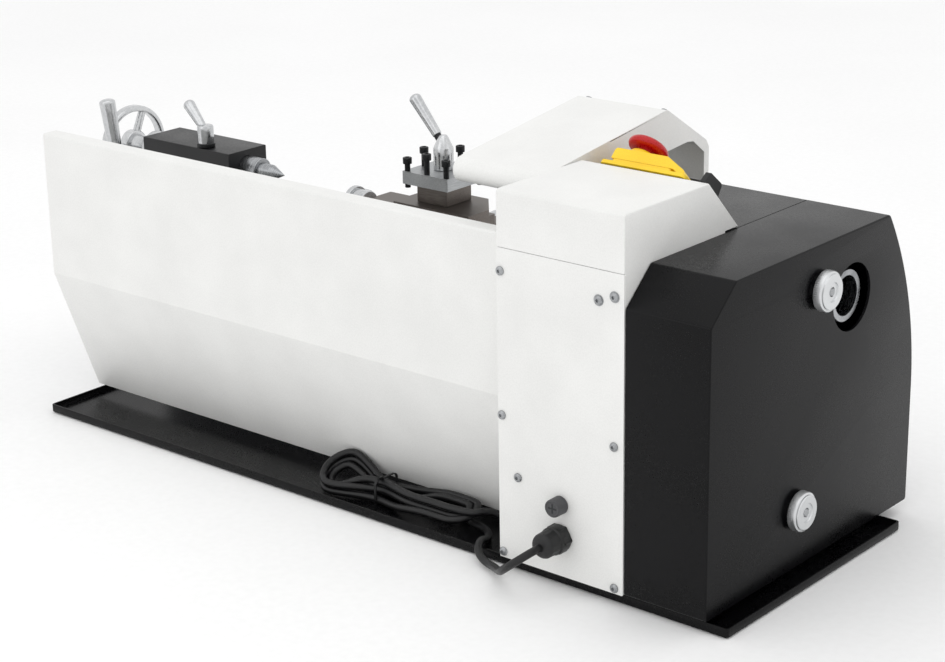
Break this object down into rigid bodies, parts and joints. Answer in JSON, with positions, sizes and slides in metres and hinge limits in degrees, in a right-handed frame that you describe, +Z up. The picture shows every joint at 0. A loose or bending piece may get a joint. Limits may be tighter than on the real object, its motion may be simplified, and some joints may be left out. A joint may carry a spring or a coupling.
{
  "type": "metalworking mini lathe",
  "caption": "Bench-top metalworking mini lathe with a black headstock end cover, white electrics box and splash guard, hinged chuck guard, carriage, tailstock and mains cord.",
  "frame": {"origin": "centre of the chip tray's underside", "axes": "+X from the headstock to the tailstock, along the bed; +Y to the splash guard at the rear; +Z up"},
  "size_m": [1.025, 0.4791, 0.3839],
  "materials": {
    "black_paint": "gloss black stoved paint",
    "white_paint": "satin white powder coat",
    "cast_iron": "ground grey iron",
    "black_iron": "satin black paint on iron",
    "steel": "turned and ground steel",
    "bright_steel": "plated steel",
    "turned_aluminium": "turned, knurled",
    "black_nylon": "matt",
    "yellow_plastic": "satin",
    "red_plastic": "gloss",
    "clear_plastic": "clear sheet",
    "belt_rubber": "matt",
    "cord_rubber": "satin"
  },
  "bodies": {
    "frame": {"chip_tray": "black_paint", "bed": "cast_iron", "headstock_casting": "cast_iron", "headstock_front_cover": "black_paint", "front_spindle_bearing": "bright_steel", "rear_spindle_bearing": "bright_steel", "banjo": "cast_iron", "motor": "black_paint", "drive_belt": "belt_rubber", "leadscrew_bracket": "cast_iron", "cover_stud_upper": "steel", "cover_stud_lower": "steel", "electrics_housing": "white_paint", "rear_panel": "white_paint", "fuse_holder": "black_nylon", "cable_gland": "black_nylon", "control_bezel": "black_paint", "stop_switch_base": "yellow_plastic", "splash_guard": "white_paint", "guard_pivot_rod": "steel", "cord_lead": "cord_rubber", "cord_hank": "cord_rubber", "cord_tail": "cord_rubber", "plug": "cord_rubber"},
    "spindle": {"spindle": "steel", "chuck_body": "steel", "spindle_pulley_gear": "steel"},
    "jaw_1": {"chuck_jaw_1": "steel"},
    "jaw_2": {"chuck_jaw_2": "steel"},
    "jaw_3": {"chuck_jaw_3": "steel"},
    "motor_shaft": {"motor_pulley": "steel"},
    "idler": {"idler_gear": "black_nylon"},
    "leadscrew": {"leadscrew": "steel", "leadscrew_gear": "black_nylon"},
    "end_cover": {"end_cover": "black_paint"},
    "nut_upper": {"thumb_nut_upper": "turned_aluminium"},
    "nut_lower": {"thumb_nut_lower": "turned_aluminium"},
    "stop_lid": {"stop_switch_lid": "yellow_plastic"},
    "stop_button": {"stop_button": "red_plastic"},
    "speed_knob": {"speed_knob": "black_nylon"},
    "direction_knob": {"direction_knob": "black_nylon"},
    "chuck_guard": {"chuck_guard": "white_paint", "guard_window": "clear_plastic"},
    "carriage": {"saddle": "cast_iron", "apron": "black_paint"},
    "apron_wheel": {"apron_handwheel": "bright_steel"},
    "half_nut_lever": {"half_nut_lever": "bright_steel"},
    "cross_slide": {"cross_slide": "cast_iron", "top_slide_base": "steel"},
    "cross_wheel": {"cross_slide_handwheel": "bright_steel"},
    "top_slide": {"top_slide": "steel"},
    "top_handle": {"top_slide_handle": "bright_steel"},
    "tool_post": {"tool_post": "steel"},
    "tool_lever": {"tool_post_lever": "bright_steel"},
    "tailstock": {"tailstock_body": "black_iron"},
    "quill": {"quill": "steel", "dead_centre": "steel"},
    "quill_wheel": {"tailstock_handwheel": "bright_steel"},
    "quill_clamp": {"quill_clamp_lever": "bright_steel"},
    "tail_lock": {"tailstock_lock_lever": "bright_steel"}
  },
  "joints": [
    {"name": "spindle_spin", "type": "hinge", "parent": "frame", "child": "spindle", "pos_m": [0, -0.072, 0.25], "axis": [1, 0, 0], "continuous": true},
    {"name": "jaw_1_slide", "type": "slide", "parent": "spindle", "child": "jaw_1", "axis": [0, 1, 0], "range_m": [-0.008, 0.006]},
    {"name": "jaw_2_slide", "type": "slide", "parent": "spindle", "child": "jaw_2", "axis": [0, -0.5, 0.866], "range_m": [-0.008, 0.006]},
    {"name": "jaw_3_slide", "type": "slide", "parent": "spindle", "child": "jaw_3", "axis": [0, -0.5, -0.866], "range_m": [-0.008, 0.006]},
    {"name": "motor_spin", "type": "hinge", "parent": "frame", "child": "motor_shaft", "pos_m": [0, 0.084, 0.092], "axis": [1, 0, 0], "continuous": true},
    {"name": "idler_spin", "type": "hinge", "parent": "frame", "child": "idler", "pos_m": [0, -0.11199, 0.16604], "axis": [1, 0, 0], "continuous": true},
    {"name": "leadscrew_spin", "type": "hinge", "parent": "frame", "child": "leadscrew", "pos_m": [0, -0.15069, 0.08478], "axis": [1, 0, 0], "continuous": true},
    {"name": "end_cover_pull", "type": "slide", "parent": "frame", "child": "end_cover", "axis": [-1, 0, 0], "range_m": [0, 0.09]},
    {"name": "nut_upper_turn", "type": "hinge", "parent": "end_cover", "child": "nut_upper", "pos_m": [-0.438, -0.017, 0.271], "axis": [1, 0, 0], "continuous": true},
    {"name": "nut_lower_turn", "type": "hinge", "parent": "end_cover", "child": "nut_lower", "pos_m": [-0.438, 0.0135, 0.071], "axis": [1, 0, 0], "continuous": true},
    {"name": "stop_lid_hinge", "type": "hinge", "parent": "frame", "child": "stop_lid", "pos_m": [-0.223, -0.00355, 0.34878], "axis": [0, 0.6936, 0.7204], "range_deg": [0, 35]},
    {"name": "stop_button_press", "type": "slide", "parent": "stop_lid", "child": "stop_button", "axis": [0, 0.7204, -0.6936], "range_m": [0, 0.004], "stiffness_N_per_m": 800},
    {"name": "speed_knob_turn", "type": "hinge", "parent": "frame", "child": "speed_knob", "pos_m": [-0.24, -0.2, 0.11], "axis": [0, 1, 0], "range_deg": [0, 270]},
    {"name": "direction_knob_turn", "type": "hinge", "parent": "frame", "child": "direction_knob", "pos_m": [-0.3, -0.2, 0.11], "axis": [0, 1, 0], "range_deg": [-60, 60]},
    {"name": "chuck_guard_swing", "type": "hinge", "parent": "frame", "child": "chuck_guard", "pos_m": [-0.145, 0.072, 0.348], "axis": [-1, 0, 0], "range_deg": [0, 80]},
    {"name": "carriage_travel", "type": "slide", "parent": "frame", "child": "carriage", "axis": [1, 0, 0], "range_m": [-0.12, 0.01]},
    {"name": "apron_wheel_turn", "type": "hinge", "parent": "carriage", "child": "apron_wheel", "pos_m": [0.1, -0.194, 0.1], "axis": [0, 1, 0], "range_deg": [-1801, 151]},
    {"name": "half_nut_lever_turn", "type": "hinge", "parent": "carriage", "child": "half_nut_lever", "pos_m": [0.16, -0.183, 0.11], "axis": [0, 1, 0], "range_deg": [-35, 0]},
    {"name": "cross_slide_travel", "type": "slide", "parent": "carriage", "child": "cross_slide", "axis": [0, -1, 0], "range_m": [-0.09, 0.008]},
    {"name": "cross_wheel_turn", "type": "hinge", "parent": "carriage", "child": "cross_wheel", "pos_m": [0.126, -0.238, 0.16], "axis": [0, -1, 0], "range_deg": [-16201, 1441]},
    {"name": "top_slide_travel", "type": "slide", "parent": "cross_slide", "child": "top_slide", "axis": [1, 0, 0], "range_m": [-0.03, 0.06]},
    {"name": "top_handle_turn", "type": "hinge", "parent": "cross_slide", "child": "top_handle", "pos_m": [0.267, -0.154, 0.207], "axis": [1, 0, 0], "range_deg": [-5401, 10801]},
    {"name": "tool_post_turn", "type": "hinge", "parent": "top_slide", "child": "tool_post", "pos_m": [0.126, -0.154, 0.258], "axis": [0, 0, 1], "continuous": true},
    {"name": "tool_lever_turn", "type": "hinge", "parent": "top_slide", "child": "tool_lever", "pos_m": [0.126, -0.154, 0.28], "axis": [0, 0, 1], "range_deg": [-60, 90]},
    {"name": "tailstock_travel", "type": "slide", "parent": "frame", "child": "tailstock", "axis": [1, 0, 0], "range_m": [-0.14, 0]},
    {"name": "quill_travel", "type": "slide", "parent": "tailstock", "child": "quill", "axis": [-1, 0, 0], "range_m": [-0.01, 0.06]},
    {"name": "quill_wheel_turn", "type": "hinge", "parent": "tailstock", "child": "quill_wheel", "pos_m": [0.5, -0.072, 0.25], "axis": [-1, 0, 0], "range_deg": [-1799, 10799]},
    {"name": "quill_clamp_turn", "type": "hinge", "parent": "tailstock", "child": "quill_clamp", "pos_m": [0.392, -0.054, 0.284], "axis": [0, 0, 1], "range_deg": [-60, 30]},
    {"name": "tail_lock_turn", "type": "hinge", "parent": "tailstock", "child": "tail_lock", "pos_m": [0.462, -0.02, 0.205], "axis": [0, 1, 0], "range_deg": [-60, 20]}
  ],
  "couplings": [
    {"joint": "jaw_2_slide", "follows": "jaw_1_slide", "ratio": 1},
    {"joint": "jaw_3_slide", "follows": "jaw_1_slide", "ratio": 1},
    {"joint": "motor_spin", "follows": "spindle_spin", "ratio": 2.375},
    {"joint": "idler_spin", "follows": "spindle_spin", "ratio": -0.55},
    {"joint": "leadscrew_spin", "follows": "spindle_spin", "ratio": 1.1},
    {"joint": "apron_wheel_turn", "follows": "carriage_travel", "rad_per_m": 261.8},
    {"joint": "cross_wheel_turn", "follows": "cross_slide_travel", "rad_per_m": 3141.6},
    {"joint": "top_handle_turn", "follows": "top_slide_travel", "rad_per_m": 3141.6},
    {"joint": "quill_travel", "follows": "quill_wheel_turn", "m_per_rad": 0.00031831}
  ]
}
